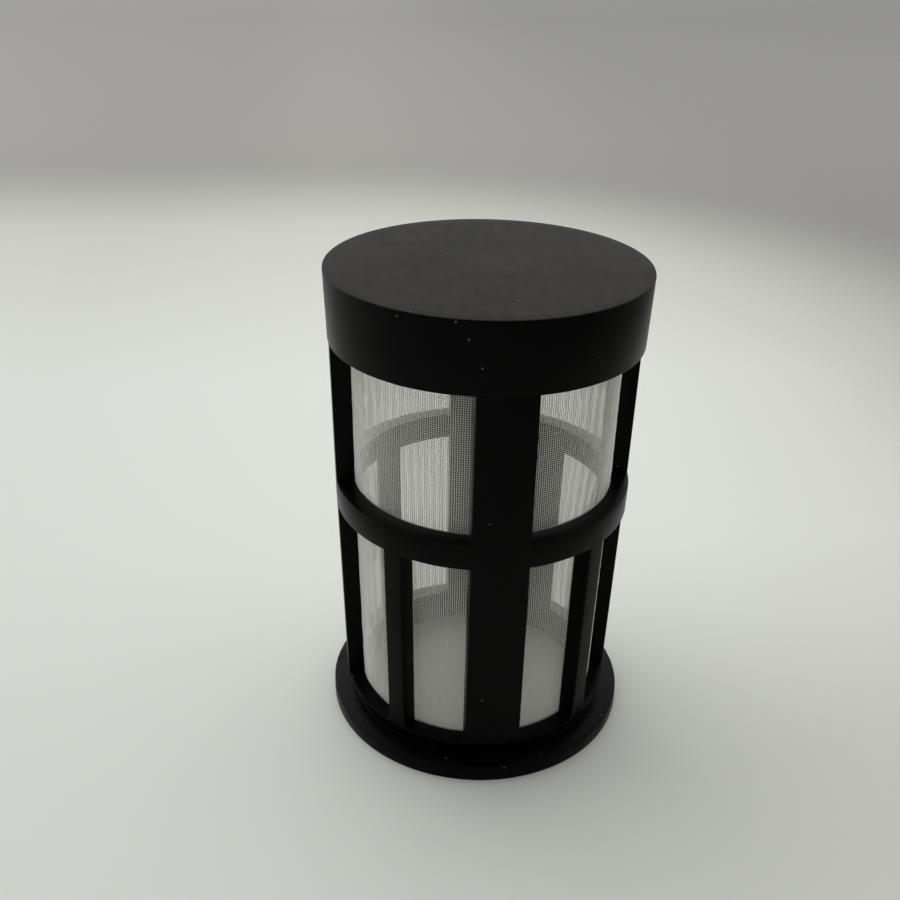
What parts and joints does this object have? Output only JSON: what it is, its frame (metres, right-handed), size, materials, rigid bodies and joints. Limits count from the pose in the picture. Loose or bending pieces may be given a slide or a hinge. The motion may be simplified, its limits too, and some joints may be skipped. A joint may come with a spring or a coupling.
{
  "type": "flanged cage strainer",
  "caption": "Flanged suction strainer: a black moulded cage around a fine woven nylon sleeve, open at the flange and closed by a solid cap.",
  "frame": {"origin": "centre of the flange's underside, on the strainer's axis", "axes": "+Z along the axis from the open flange to the closed cap; the widest rib, over the cloth's seam, faces -Y"},
  "size_m": [0.046, 0.046, 0.0714],
  "materials": {
    "cage_plastic": "black moulded, satin",
    "nylon_mesh": "woven, natural white",
    "cap_plastic": "black moulded, matt"
  },
  "bodies": {
    "root": {"cage": "cage_plastic", "mesh_sleeve": "nylon_mesh", "end_cap": "cap_plastic"}
  },
  "joints": []
}
